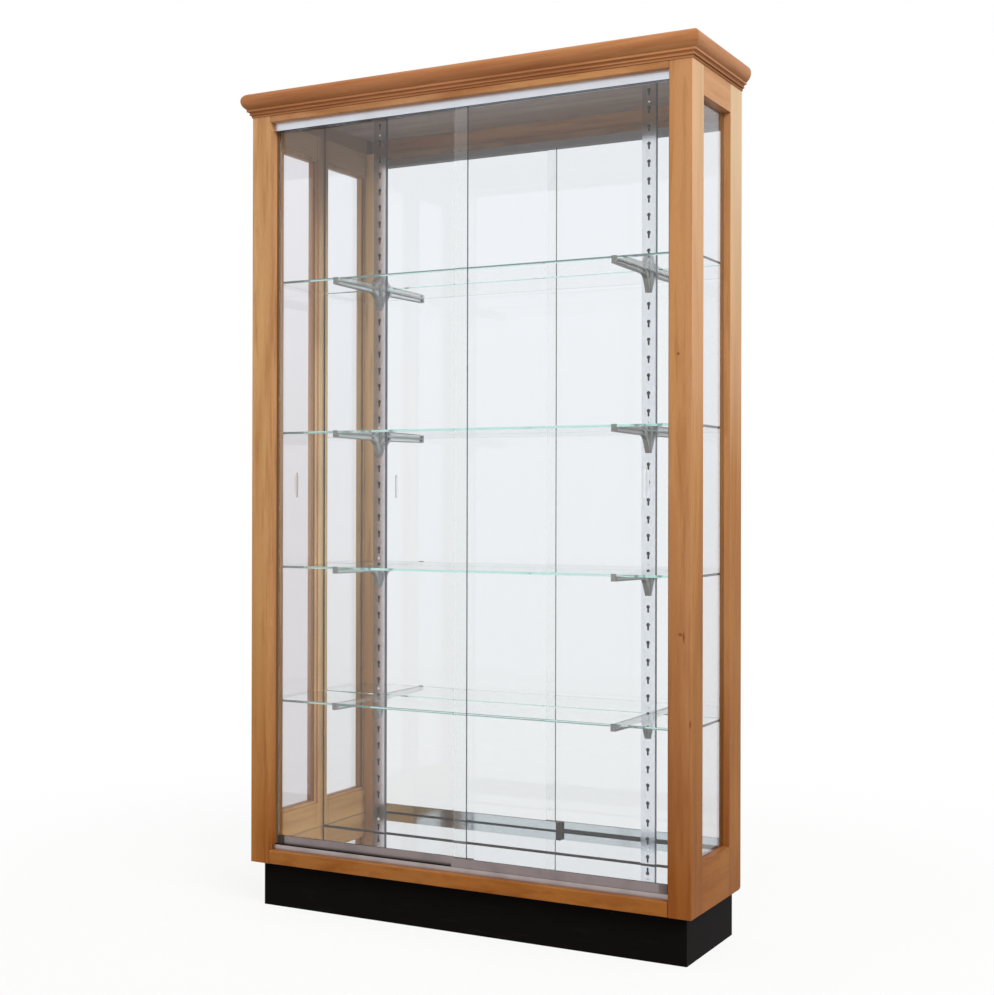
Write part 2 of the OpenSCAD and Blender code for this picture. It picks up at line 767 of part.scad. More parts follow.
// Section of a shoe: the glass stands in the upper slot and the rollers run in the lower one
module shoe_section() {
    difference() {
        translate([-shoe_w / 2, 0]) square([shoe_w, shoe_h]);
        translate([-shoe_slot_w / 2, glass_z - shoe_z]) square([shoe_slot_w, shoe_h]);
        translate([-shoe_slot_w / 2, -cut]) square([shoe_slot_w, shoe_web_z - shoe_z + cut]);
    }
}
module door_shoe(y) {
    at_case() aluminium() difference() {
        translate([shoe_inner_x, y, shoe_z]) rotate([90, 0, 90])
            linear_extrude(shoe_outer_x - shoe_inner_x) shoe_section();
        for (x = [roller_outer_x, roller_inner_x])
            translate([x, y - shoe_w / 2 - cut, roller_z]) rotate([-90, 0, 0])
                cylinder(r = roller_pin_r + hole_play, h = shoe_w + 2 * cut, $fn = round_fn);
    }
}
// Outer end block: fills the shoe's end and holds the foot of the glass
module door_outer_block(y) {
    at_case() black_nylon() difference() {
        block([shoe_outer_x, y - shoe_w / 2, shoe_z], [door_outer_x, y + shoe_w / 2, shoe_z + shoe_h]);
        block(
            [shoe_outer_x - cut, y - shoe_slot_w / 2, glass_z],
            [door_outer_x + cut, y + shoe_slot_w / 2, shoe_z + shoe_h + cut]
        );
    }
}
// Inner end block: a stop on the rear door's shoe, past the edge of its glass
module door_inner_block(y) {
    at_case() black_nylon() block(
        [shoe_inner_x - inner_block_l, y - shoe_w / 2, shoe_z],
        [shoe_inner_x, y + shoe_w / 2, shoe_z + shoe_h]
    );
}
module door_roller_pins(y) {
    at_case() steel() for (x = [roller_outer_x, roller_inner_x])
        translate([x, y - shoe_w / 2, roller_z]) rotate([-90, 0, 0])
            cylinder(r = roller_pin_r, h = shoe_w, $fn = round_fn);
}
// Roller: a plain wheel with a raised hub, free on its pin
module door_roller(x, y) {
    hub_w = shoe_slot_w - 2 * run_gap;
    at_case() steel() translate([x, y, roller_z]) rotate([90, 0, 0]) difference() {
        union() {
            cylinder(r = roller_r, h = roller_w, center = true, $fn = 2 * round_fn);
            cylinder(r = 2 * roller_pin_r, h = hub_w, center = true, $fn = round_fn);
        }
        cylinder(r = roller_pin_r + hole_play, h = roller_w + 2 * cut, center = true, $fn = round_fn);
    }
}
module right_door_glass() { door_glass(front_door_y); }
module right_door_shoe() { door_shoe(front_door_y); }
module right_door_end_block() { door_outer_block(front_door_y); }
module right_door_roller_pins() { door_roller_pins(front_door_y); }
module right_door_outer_roller() { door_roller(roller_outer_x, front_door_y); }
module right_door_inner_roller() { door_roller(roller_inner_x, front_door_y); }
module left_door_glass() { mirror([1, 0, 0]) door_glass(rear_door_y); }
module left_door_shoe() { mirror([1, 0, 0]) door_shoe(rear_door_y); }
module left_door_end_blocks() {
    mirror([1, 0, 0]) door_outer_block(rear_door_y);
    mirror([1, 0, 0]) door_inner_block(rear_door_y);
}
module left_door_roller_pins() { mirror([1, 0, 0]) door_roller_pins(rear_door_y); }
module left_door_outer_roller() { mirror([1, 0, 0]) door_roller(roller_outer_x, rear_door_y); }
module left_door_inner_roller() { mirror([1, 0, 0]) door_roller(roller_inner_x, rear_door_y); }

plinth_front();
plinth_back();
plinth_left();
plinth_right();
left_front_post();
right_front_post();
left_back_stile();
right_back_stile();
left_side_top_rail();
right_side_top_rail();
left_side_bottom_rail();
right_side_bottom_rail();
left_side_glass();
right_side_glass();
left_glazing_beads();
right_glazing_beads();
front_top_rail();
front_bottom_rail();
back_top_rail();
back_bottom_rail();
bottom_panel();
deck_panel();
deck_mirror();
back_panel();
back_mirror();
top_panel();
crown_front();
crown_left();
crown_right();
top_track();
bottom_track();
left_jamb_strip();
right_jamb_strip();
left_standard();
right_standard();
standard_screws();
bracket_1_left();
bracket_1_right();
bracket_2_left();
bracket_2_right();
bracket_3_left();
bracket_3_right();
bracket_4_left();
bracket_4_right();
shelf_1();
shelf_2();
shelf_3();
shelf_4();
left_door_glass();
left_door_shoe();
left_door_end_blocks();
left_door_roller_pins();
left_door_outer_roller();
left_door_inner_roller();
right_door_glass();
right_door_shoe();
right_door_end_block();
right_door_roller_pins();
right_door_outer_roller();
right_door_inner_roller();
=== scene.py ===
import math

import bpy
import numpy as np
from mathutils import Matrix, Vector


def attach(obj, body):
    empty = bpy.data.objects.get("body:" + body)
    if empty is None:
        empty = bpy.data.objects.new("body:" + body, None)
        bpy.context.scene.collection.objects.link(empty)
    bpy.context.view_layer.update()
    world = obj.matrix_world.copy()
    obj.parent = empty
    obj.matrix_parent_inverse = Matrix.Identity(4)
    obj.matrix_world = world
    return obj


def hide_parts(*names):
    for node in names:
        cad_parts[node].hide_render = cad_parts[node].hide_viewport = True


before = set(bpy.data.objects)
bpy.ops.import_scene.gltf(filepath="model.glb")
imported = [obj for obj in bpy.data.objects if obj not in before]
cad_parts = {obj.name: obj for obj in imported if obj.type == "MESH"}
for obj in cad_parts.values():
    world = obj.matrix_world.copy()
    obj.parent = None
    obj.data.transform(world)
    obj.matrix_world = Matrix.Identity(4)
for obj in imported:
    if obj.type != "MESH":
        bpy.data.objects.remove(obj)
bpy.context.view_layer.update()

# Camera: set up low and level in front of the cabinet, to the right of its middle.
# Its place and turn were worked out from the edges of the case in the picture.
camera_at = (1.86987, -3.45293, 1.05467)
yaw, pitch, roll = math.radians(28.025), math.radians(0.132), math.radians(0.123)
focal_mm, sensor_mm = 56.553, 36
flat = math.cos(pitch)
ahead = Vector((-math.sin(yaw) * flat, math.cos(yaw) * flat, math.sin(pitch)))
level = Vector((math.cos(yaw), math.sin(yaw), 0))
upward = level.cross(ahead)
across = level * math.cos(roll) + upward * math.sin(roll)
rise = upward * math.cos(roll) - level * math.sin(roll)
turn = Matrix((across, rise, -ahead)).transposed().to_4x4()
lens = bpy.data.cameras.new("camera")
lens.lens, lens.sensor_width = focal_mm, sensor_mm
camera = bpy.data.objects.new("camera", lens)
camera.matrix_world = Matrix.Translation(camera_at) @ turn
bpy.context.scene.collection.objects.link(camera)
bpy.context.scene.camera = camera
bpy.context.scene.view_settings.view_transform = "Standard"
# The panes stand one behind the other and show again in the mirror, so light may pass many.
pane_passes, clear_passes = 24, 32
bpy.context.scene.cycles.max_bounces = pane_passes
bpy.context.scene.cycles.transmission_bounces = pane_passes
bpy.context.scene.cycles.transparent_max_bounces = clear_passes

# Studio: a window-like panel high on the right, a broad lamp beyond it, and even light all round.
# The surround shows white to the eye and in the mirror, and pale grey out through the panes.
# It lights the cabinet softly.


def fit(tree, kind, sockets=(), **settings):
    """Adds one shader node. Settings are its own switches.

    A socket pairs an input with a value, or with the output that feeds it."""
    node = tree.nodes.new(kind)
    for name, value in settings.items():
        setattr(node, name, value)
    for name, value in sockets:
        if isinstance(value, bpy.types.NodeSocket):
            tree.links.new(value, node.inputs[name])
        else:
            node.inputs[name].default_value = value
    return node


def sums(tree, operation, *values):
    """One step of arithmetic on numbers or outputs."""
    return fit(tree, "ShaderNodeMath", enumerate(values), operation=operation).outputs[0]


def seen_directly(tree):
    """1 for rays from the eye, a mirror or through glass, and 0 for light off dull surfaces."""
    path = fit(tree, "ShaderNodeLightPath").outputs
    first = sums(tree, "MAXIMUM", path["Is Camera Ray"], path["Is Glossy Ray"])
    return sums(tree, "MAXIMUM", first, path["Is Transmission Ray"])


def mix(tree, share, first, second, **settings):
    """A colour that goes from the first to the second while share goes from 0 to 1.

    On this node the two colours go into sockets 6 and 7, and come out of socket 2."""
    ends = [(0, share), (6, first), (7, second)]
    return fit(tree, "ShaderNodeMix", ends, data_type="RGBA", **settings).outputs[2]


def ramp(tree, value, low, high, start=0.0, end=1.0, **settings):
    """Goes from start to end while the value goes from low to high, and holds beyond both."""
    reach = [("Value", value), ("From Min", low), ("From Max", high)]
    ends = [("To Min", start), ("To Max", end)]
    return fit(tree, "ShaderNodeMapRange", reach + ends, **settings).outputs[0]


def along(tree, place, axis):
    """One coordinate of a place or a direction."""
    return fit(tree, "ShaderNodeSeparateXYZ", [(0, place)]).outputs[axis]


def either(tree, share, first, second):
    """The first shader where share is 0, and the second where it is 1."""
    ends = [(0, share), (1, first.outputs[0]), (2, second.outputs[0])]
    return fit(tree, "ShaderNodeMixShader", ends).outputs[0]


def past_pane(tree, behind, grey):
    """White, and grey where a pane shows what lies behind the cabinet. behind is 1 there."""
    through = fit(tree, "ShaderNodeLightPath").outputs["Is Transmission Ray"]
    return mix(tree, sums(tree, "MULTIPLY", through, behind), (1, 1, 1, 1), grey)


surround = bpy.data.worlds.new("studio")
surround.use_nodes = True
surround.node_tree.nodes.clear()
air = surround.node_tree
sky = fit(air, "ShaderNodeTexCoord").outputs["Generated"]
low_grey, high_grey = (0.785, 0.755, 0.785, 1), (0.89, 0.865, 0.905, 1)
grey_rise, rear_turn = (0.0, 0.2), (0.2, 0.5)
wall_grey = mix(air, ramp(air, along(air, sky, "Z"), *grey_rise), low_grey, high_grey)
wall = past_pane(air, ramp(air, along(air, sky, "Y"), *rear_turn), wall_grey)
soft_tone, soft_strength = (1, 0.985, 0.96, 1), 0.56
soft = fit(air, "ShaderNodeBackground", [("Color", soft_tone), ("Strength", soft_strength)])
white = fit(air, "ShaderNodeBackground", [("Color", wall), ("Strength", 1)])
fit(air, "ShaderNodeOutputWorld", [("Surface", either(air, seen_directly(air), soft, white))])
bpy.context.scene.world = surround

lamp = bpy.data.lights.new("broad_lamp", "SUN")
lamp.energy, lamp.angle, lamp.color = 1.35, math.radians(38), (1, 0.985, 0.955)
lamp_stand, lamp_facing = (0, 0, 4), (0.70, -0.42, 0.58)
panel = bpy.data.lights.new("panel_lamp", "AREA")
panel.energy, panel.size, panel.color = 58, 2.0, (1, 0.99, 0.965)
panel_stand, panel_facing = (3.0, -2.2, 3.3), (2.8, -2.2, 1.7)
lamps = ((lamp, lamp_stand, lamp_facing), (panel, panel_stand, panel_facing))
for light, stand_at, looks_back in lamps:
    stand = bpy.data.objects.new(light.name, light)
    stand.location = stand_at
    stand.rotation_mode = "QUATERNION"
    stand.rotation_quaternion = Vector(looks_back).to_track_quat("Z", "Y")
    bpy.context.scene.collection.objects.link(stand)

# Floor: a wide pale sheet, laid level under the toe box, that takes the cabinet's shadow.
# It fades to white away from the cabinet, and to the wall's grey where a pane shows it.
floor_half, fade_from, fade_to, least_white = 60.0, 0.9, 2.6, 0.86
lit_tone, seen_tone = (0.40, 0.37, 0.34, 1), (0.92, 0.92, 0.92, 1)
rear_floor = (0.3, 0.8)
floor_mesh = bpy.data.meshes.new("floor")
corner_signs = ((-1, -1), (1, -1), (1, 1), (-1, 1))
floor_corners = [(x * floor_half, y * floor_half, 0) for x, y in corner_signs]
floor_mesh.from_pydata(floor_corners, [], [(0, 1, 2, 3)])
floor = bpy.data.objects.new("floor", floor_mesh)
bpy.context.scene.collection.objects.link(floor)
paper = bpy.data.materials.new("pale_floor")
paper.use_nodes = True
paper.node_tree.nodes.clear()
sheet = paper.node_tree
spot = fit(sheet, "ShaderNodeTexCoord").outputs["Object"]
reach = fit(sheet, "ShaderNodeVectorMath", [(0, spot)], operation="LENGTH").outputs["Value"]
fade = ramp(sheet, reach, fade_from, fade_to, least_white, 1, interpolation_type="SMOOTHSTEP")
seen = seen_directly(sheet)
matt = fit(sheet, "ShaderNodeBsdfDiffuse", [("Color", mix(sheet, seen, lit_tone, seen_tone))])
far = past_pane(sheet, ramp(sheet, along(sheet, spot, "Y"), *rear_floor), low_grey)
glow = fit(sheet, "ShaderNodeEmission", [("Color", far), ("Strength", 1)])
faded = either(sheet, sums(sheet, "MULTIPLY", fade, seen), matt, glow)
fit(sheet, "ShaderNodeOutputMaterial", [("Surface", faded)])
floor_mesh.materials.append(paper)

# Posts and stiles: solid maple, planed square, eased along the edges and lacquered to a satin.
# They run the full height of the case, and the rails are tenoned into them.


def tint(red, green, blue):
    """A colour given as 0 to 255, turned into the linear colour that a shader takes."""
    share = np.array([red, green, blue]) / 255
    linear = np.where(share <= 0.04045, share / 12.92, ((share + 0.055) / 1.055) ** 2.4)
    return (*linear.tolist(), 1.0)


def new_group(name, takes, gives):
    """Starts a shader node group with named sockets, and returns it with its inside ends."""
    group = bpy.data.node_groups.new(name, "ShaderNodeTree")
    for way, sockets in (("INPUT", takes), ("OUTPUT", gives)):
        for label, kind in sockets.items():
            group.interface.new_socket(label, in_out=way, socket_type="NodeSocket" + kind)
    given = group.nodes.new("NodeGroupInput").outputs
    out = group.nodes.new("NodeGroupOutput").inputs
    return group, given, out


def give(group, out, **results):
    """Feeds a group's outputs, which have one-word names."""
    for label, result in results.items():
        group.links.new(result, out[label])
    return group


def use(tree, group, *sockets):
    """Places a group in a material, and returns its outputs."""
    return fit(tree, "ShaderNodeGroup", sockets, node_tree=group).outputs


def noise(tree, place, scale, detail=2, distortion=0.0):
    """A cloud between 0 and 1, with cells about 1/scale metres across."""
    sockets = [("Vector", place), ("Scale", scale), ("Detail", detail), ("Distortion", distortion)]
    return fit(tree, "ShaderNodeTexNoise", sockets).outputs["Fac"]


def cells(tree, place, scale):
    """Cells about 1/scale metres across: each cell's number, and the distance from its middle."""
    found = fit(tree, "ShaderNodeTexVoronoi", [("Vector", place), ("Scale", scale)]).outputs
    number = fit(tree, "ShaderNodeSeparateColor", [(0, found["Color"])]).outputs[0]
    return number, found["Distance"]


def stretched(tree, place, by):
    """The place multiplied axis by axis. A small number draws a texture out along its axis."""
    sockets = [(0, place), (1, by)]
    return fit(tree, "ShaderNodeVectorMath", sockets, operation="MULTIPLY").outputs[0]


def turned_to(tree, direction):
    """1 where a surface faces that direction, 0 where it lies along it, -1 where it faces away."""
    normal = fit(tree, "ShaderNodeNewGeometry").outputs["Normal"]
    sockets = [(0, normal), (1, direction)]
    return fit(tree, "ShaderNodeVectorMath", sockets, operation="DOT_PRODUCT").outputs["Value"]


def from_spot(tree, place, centre, reach):
    """How far a place is from an oval's centre, where 1 is the rim. reach is its half size."""
    ends = [(0, place), (1, centre)]
    off = fit(tree, "ShaderNodeVectorMath", ends, operation="SUBTRACT").outputs[0]
    sized = stretched(tree, off, tuple(1 / size for size in reach))
    return fit(tree, "ShaderNodeVectorMath", [(0, sized)], operation="LENGTH").outputs["Value"]


def shade(tree, share, colour, by):
    """The colour multiplied by another where share is 1, and as it was where share is 0."""
    return mix(tree, share, colour, by, blend_type="MULTIPLY")


def finish(name, sockets=()):
    """Starts a material round one Principled shader.

    Returns both, the material's tree, and the place on the piece in its own coordinates."""
    material = bpy.data.materials.new(name)
    material.use_nodes = True
    material.node_tree.nodes.clear()
    tree = material.node_tree
    skin = fit(tree, "ShaderNodeBsdfPrincipled", sockets)
    fit(tree, "ShaderNodeOutputMaterial", [("Surface", skin.outputs[0])])
    return material, tree, skin, fit(tree, "ShaderNodeTexCoord").outputs["Object"]


def wear(tree, skin, **feeds):
    """Feeds the shader's inputs, named with a low line for each space."""
    for name, output in feeds.items():
        tree.links.new(output, skin.inputs[name.replace("_", " ")])


def relief(tree, height, strength, distance):
    """A normal that is roughened by a height."""
    sockets = [("Strength", strength), ("Distance", distance), ("Height", height)]
    return fit(tree, "ShaderNodeBump", sockets).outputs[0]


def coat(material, *nodes):
    """Gives CAD pieces their finish, in all of their material slots."""
    for node in nodes:
        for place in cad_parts[node].material_slots:
            place.material = material


y_front = -0.1555
door_line, bead_line = y_front + 0.036, y_front + 0.0625
# Over this length, in metres, a sharp change of tone takes place.
sharp = 0.0005
# A surface counts as facing some way between these values of turned_to, from not yet to wholly.
facing, facing_wide = (0.5, 0.9), (0.4, 0.8)
unshaded = (1, 1, 1, 1)
# Low Tone and Low Curve set the painted shade that deepens the wood low down.
honey = {
    "Ground": tint(209, 155, 111),
    "Gold": tint(208, 151, 99),
    "Band": tint(190, 132, 86),
    "Line": tint(166, 110, 67),
    "Low Tone": (0.57, 0.385, 0.195, 1),
    "Low Curve": 2.6,
}
# A paler copy of the wood, for the left post: painted light.
lit_honey = {
    **honey,
    "Ground": tint(232, 179, 131),
    "Gold": tint(228, 183, 125),
    "Band": tint(211, 157, 108),
    "Low Tone": (0.60, 0.42, 0.23, 1),
    "Low Curve": 1.6,
}


def maple_figure():
    """Colour of a lacquered maple board.

    Broad veins and bands, fine growth lines and fibres are clouds drawn out along the grain. A few
    pin knots are the middles of rare cells. Low down the tone is deeper with painted shade, by a
    power of how far a spot lies below the top, and unevenly, in patches."""
    vein_cloud, vein_range = (6, 2, 0.4), (0.44, 0.60)
    band_cloud, band_range = (17, 3, 0.6), (0.42, 0.66)
    line_cloud, line_range, line_share = (75, 4, 0.25), (0.50, 0.74), 0.55
    fibre_scale, fibre_range, fibre_share, fibre_height = 800, (0.42, 0.68), 0.10, 0.5
    knot_scale, rarity, knot_rim_to_heart = 7.5, 0.62, (0.035, 0.012)
    patch_scale, unevenness, pale_to_deep = 3.2, 0.5, (2.15, 0.45)
    pin_brown, fibre_brown, satin = tint(94, 52, 24), tint(120, 72, 36), (0.34, 0.46)
    takes = {"Place": "Vector", "Stretch": "Vector", "Low Curve": "Float"}
    takes.update({tone: "Color" for tone in ("Ground", "Gold", "Band", "Line", "Low Tone")})
    gives = {"Color": "Color", "Relief": "Float", "Gloss": "Float"}
    group, given, out = new_group("maple_figure", takes, gives)
    drawn = stretched(group, given["Place"], given["Stretch"])
    veins = ramp(group, noise(group, drawn, *vein_cloud), *vein_range)
    bands = ramp(group, noise(group, drawn, *band_cloud), *band_range)
    lines = ramp(group, noise(group, drawn, *line_cloud), *line_range)
    fibres = ramp(group, noise(group, drawn, fibre_scale), *fibre_range)
    patches = noise(group, given["Place"], patch_scale)
    veined = mix(group, veins, given["Ground"], given["Gold"])
    banded = mix(group, bands, veined, given["Band"])
    lined = mix(group, sums(group, "MULTIPLY", lines, line_share), banded, given["Line"])
    number, from_heart = cells(group, given["Place"], knot_scale)
    chosen = sums(group, "GREATER_THAN", number, rarity)
    knot = sums(group, "MULTIPLY", chosen, ramp(group, from_heart, *knot_rim_to_heart))
    dotted = mix(group, knot, lined, pin_brown)
    lift = sums(group, "MULTIPLY_ADD", patches, unevenness, along(group, given["Place"], "Z"))
    low_shade = sums(group, "POWER", ramp(group, lift, *pale_to_deep), given["Low Curve"])
    toned = shade(group, low_shade, dotted, given["Low Tone"])
    fibred = mix(group, sums(group, "MULTIPLY", fibres, fibre_share), toned, fibre_brown)
    ridges = sums(group, "MULTIPLY_ADD", fibres, fibre_height, lines)
    return give(group, out, Color=fibred, Relief=ridges, Gloss=ramp(group, fibres, 0, 1, *satin))


def case_painted_light():
    """Painted light and shade on the boards, by their height, their depth and where they face.

    Outside, a painted highlight pales them towards the top, and painted shade deepens them
    low down, most at knee height, and yellower at the foot. Inside, painted light and shade
    make them less orange: grey under the top and yellow at the bottom. Painted shade darkens
    them before the doors, and most from the doors to the beads. Back Tone is painted light or
    shade on the faces that look at the mirror. Outward is 1 on the outer sides and -1 on the
    inner ones."""
    top_highlight, highlight_rise = tint(236, 216, 180), (1.1, 1.9)
    outer_foot, outer_knee = (0.875, 0.885, 0.49, 1), (0.78, 0.71, 0.41, 1)
    outer_low, outer_shade_fall = (0.85, 0.80, 0.52, 1), (1.32, 1.10)
    foot_to_knee, knee_to_low = (0.35, 0.65), (0.85, 1.05)
    inner_low, inner_mid = (1.02, 1.62, 2.15, 1), (1.03, 1.45, 1.83, 1)
    inner_high, turned_in = (0.85, 1.11, 1.53, 1), (-0.1, -0.4)
    low_to_mid, mid_to_high = (0.2, 0.6), (1.55, 1.95)
    front_shade, door_shade = (0.78, 0.73, 0.72, 1), (0.50, 0.62, 0.92, 1)
    takes = {"Place": "Vector", "Color": "Color", "Highlight Share": "Float", "Back Tone": "Color"}
    group, given, out = new_group("case_painted_light", takes, {"Color": "Color", "Outward": "Float"})
    height, depth = along(group, given["Place"], "Z"), along(group, given["Place"], "Y")
    hand = sums(group, "SIGN", along(group, given["Place"], "X"))
    outward = sums(group, "MULTIPLY", turned_to(group, (1, 0, 0)), hand)
    outside = ramp(group, outward, *facing)
    pale = ramp(group, height, *highlight_rise, 0, given["Highlight Share"])
    colour = mix(group, sums(group, "MULTIPLY", outside, pale), given["Color"], top_highlight)
    outer_shade = sums(group, "MULTIPLY", outside, ramp(group, height, *outer_shade_fall))
    outer = mix(group, ramp(group, height, *foot_to_knee), outer_foot, outer_knee)
    outer = mix(group, ramp(group, height, *knee_to_low), outer, outer_low)
    colour = shade(group, outer_shade, colour, outer)
    inner = mix(group, ramp(group, height, *low_to_mid), inner_low, inner_mid)
    inner = mix(group, ramp(group, height, *mid_to_high), inner, inner_high)
    inner = mix(group, ramp(group, depth, bead_line, bead_line + sharp), door_shade, inner)
    inner = mix(group, ramp(group, depth, door_line, door_line + sharp), front_shade, inner)
    colour = shade(group, ramp(group, outward, *turned_in), colour, inner)
    behind = ramp(group, turned_to(group, (0, 1, 0)), *facing)
    colour = shade(group, behind, colour, given["Back Tone"])
    return give(group, out, Color=colour, Outward=outward)


def closed_seam():
    """A hairline of shade where two boards meet. Off is how far a spot lies from the joint."""
    seam_brown, hairline, seam_depth = tint(70, 38, 20), (0.0011, 0.0002), 0.75
    takes, gives = {"Color": "Color", "Off": "Float"}, {"Color": "Color"}
    group, given, out = new_group("closed_seam", takes, gives)
    line = ramp(group, sums(group, "ABSOLUTE", given["Off"]), *hairline, 0, seam_depth)
    return give(group, out, Color=mix(group, line, given["Color"], seam_brown))


figure, painted_light, seam = maple_figure(), case_painted_light(), closed_seam()
knot_brown, reveal_shade = tint(112, 50, 24), (0.55, 0.53, 0.50, 1)


def maple(name, grain, tones=honey, seams=(), knots=(), rebated=False, back=unshaded, highlight=0.34):
    """Lacquered maple, with its grain along the axis that has a small number in grain.

    A seam is (axis, place), where the end of a rail meets its post. On X it lies on both sides of
    the middle. A knot is (centre, half size). rebated paints shade on the faces that look along
    the pane, as on the beads. back is painted light or shade on the faces that look at the mirror,
    and the last argument is how strong the painted highlight is at the top of the outer sides."""
    knot_rim_to_heart, knot_depth, reveal = (1.0, 0.3), 0.7, (0.7, 0.3)
    material, tree, skin, place = finish(name, [("Specular IOR Level", 0.05)])
    wood = use(tree, figure, ("Place", place), ("Stretch", grain), *tones.items())
    colour = wood["Color"]
    for axis, where in seams:
        spot = along(tree, place, axis)
        if axis == "X":
            spot = sums(tree, "ABSOLUTE", spot)
        off = sums(tree, "SUBTRACT", spot, where)
        colour = use(tree, seam, ("Color", colour), ("Off", off))["Color"]
    for centre, reach in knots:
        off = from_spot(tree, place, centre, reach)
        heart = ramp(tree, off, *knot_rim_to_heart, 0, knot_depth)
        colour = mix(tree, heart, colour, knot_brown)
    fed = [("Place", place), ("Color", colour), ("Highlight Share", highlight), ("Back Tone", back)]
    painted = use(tree, painted_light, *fed)
    colour = painted["Color"]
    if rebated:
        along_pane = ramp(tree, sums(tree, "ABSOLUTE", painted["Outward"]), *reveal)
        colour = shade(tree, along_pane, colour, reveal_shade)
    normal = relief(tree, wood["Relief"], 0.12, 0.0004)
    wear(tree, skin, Base_Color=colour, Roughness=wood["Gloss"], Normal=normal)
    return material


up_grain, back_grain, cross_grain = (1, 1, 0.07), (1, 0.07, 1), (0.07, 1, 1)
# The posts' faces that look at the mirror get painted light.
lit_back = (1.25, 1.48, 1.55, 1)
post_knots = [
    ((0.5764, y_front, 1.3875), (0.0045, 0.01, 0.0050)),
    ((0.5825, y_front, 0.7551), (0.0070, 0.01, 0.0050)),
    ((0.5905, y_front, 0.7490), (0.0035, 0.01, 0.0160)),
    ((0.6065, y_front, 0.5545), (0.0030, 0.01, 0.0120)),
]
coat(maple("maple_upright", up_grain, highlight=0.6), "left_back_stile", "right_back_stile")
coat(maple("maple_knotty", up_grain, knots=post_knots, back=lit_back), "right_front_post")
# The left post's paler wood is painted light.
coat(maple("maple_lit", up_grain, lit_honey, back=lit_back), "left_front_post")

# Side rails: maple, with the grain from front to back, tenoned between a post and a stile.
# The beads inside hold the glass in its rebate, and lie in the shade of it.
post_end, stile_start = y_front + 0.071, y_front + 0.252
rail_seams = [("Y", post_end), ("Y", stile_start)]
side_rail = maple("maple_side_rail", back_grain, seams=rail_seams, highlight=0.1)
coat(side_rail, "left_side_top_rail", "right_side_top_rail")
coat(side_rail, "left_side_bottom_rail", "right_side_bottom_rail")
coat(maple("maple_bead", up_grain, rebated=True), "left_glazing_beads", "right_glazing_beads")

# Front rails: maple from post to post, over and under the doors, each end closed up to its post.
# The two rails at the back are the same timber, tenoned between the stiles behind the back panel.
# The front rails' faces that look at the mirror get painted shade.
rail_end, long_grain, rail_back_shade = 0.5525, (0.22, 1, 1), (0.77, 0.90, 1.05, 1)
amber = {**honey, "Low Tone": (0.66, 0.50, 0.27, 1), "Band": tint(180, 122, 76)}
cross_rail = maple("maple_front_rail", long_grain, amber, [("X", rail_end)], back=rail_back_shade)
coat(cross_rail, "front_top_rail", "front_bottom_rail")
coat(maple("maple_rear_rail", cross_grain), "back_top_rail", "back_bottom_rail")

# Crown: a maple moulding with a round nose over two small steps, mitred at the two front corners.
# Each length has its grain along it, and is redder and a little darker than the flat boards.
russet = {
    "Ground": tint(212, 150, 106),
    "Gold": tint(204, 144, 97),
    "Band": tint(182, 120, 78),
    "Line": tint(154, 96, 60),
    "Low Tone": unshaded,
}
shaded_russet = {
    **russet,
    "Ground": tint(190, 134, 92),
    "Gold": tint(184, 130, 84),
    "Band": tint(160, 106, 66),
}
# The crown's back, seen in the mirror, gets painted light.
crown_back_light = (1.20, 1.36, 1.46, 1)
coat(maple("maple_crown_front", cross_grain, russet, back=crown_back_light), "crown_front")
# The crown's ends are a darker copy of its wood, painted shade, with no painted highlight.
coat(maple("maple_crown_end", back_grain, shaded_russet, highlight=0.0), "crown_left", "crown_right")

# Toe box: four boards faced in black laminate, glued into a box and set back under the case.
# Shoes and brooms have left fine scuffs on it, most of them near the floor.


def scuffed_black():
    """Matt black laminate.

    Scuffs are the thin ridges of a cloud drawn out along the floor, strongest low down."""
    box_height, least_scuff, ridges = 0.11, 0.15, (0.58, 0.72)
    scuff_stretch, scuff_cloud, pore_scale = (0.22, 0.22, 1.6), (46, 5), 900
    black, scuffed, matt_range = tint(20, 18, 18), tint(29, 27, 26), (0.46, 0.62)
    material, tree, skin, place = finish("black_laminate", [("Specular IOR Level", 0.01)])
    flattened = stretched(tree, place, scuff_stretch)
    low = ramp(tree, along(tree, place, "Z"), box_height, 0.0, least_scuff, 1)
    marks = ramp(tree, noise(tree, flattened, *scuff_cloud), *ridges)
    scuff = sums(tree, "MULTIPLY", low, marks)
    colour, rough = mix(tree, scuff, black, scuffed), ramp(tree, scuff, 0, 1, *matt_range)
    pores = relief(tree, noise(tree, place, pore_scale), 0.15, 0.0003)
    wear(tree, skin, Base_Color=colour, Roughness=rough, Normal=pores)
    return material


coat(scuffed_black(), "plinth_front", "plinth_back", "plinth_left", "plinth_right")

# Bottom, deck, back and top panels, let in between the frames.
# Three are pressed board with a dull grey-brown face. The top one is veneered in wood, whose
# grey-brown tone is painted shade.


def pressed_board():
    """Grey-brown board: small chips in many tones, as cells of random number, under a cloud."""
    chip_scale, chip_share, cloud, worn_range = 420, 0.35, (5, 3), (0.35, 1.0)
    whole, worn, dull_range = tint(112, 101, 95), tint(98, 85, 77), (0.52, 0.66)
    material, tree, skin, place = finish("pressed_board", [("Specular IOR Level", 0.3)])
    chip = cells(tree, place, chip_scale)[0]
    mixed = sums(tree, "MULTIPLY_ADD", chip, chip_share, noise(tree, place, *cloud))
    colour = mix(tree, ramp(tree, mixed, *worn_range), whole, worn)
    dull, rough = relief(tree, chip, 0.12, 0.0003), ramp(tree, chip, 0, 1, *dull_range)
    wear(tree, skin, Base_Color=colour, Roughness=rough, Normal=dull)
    return material


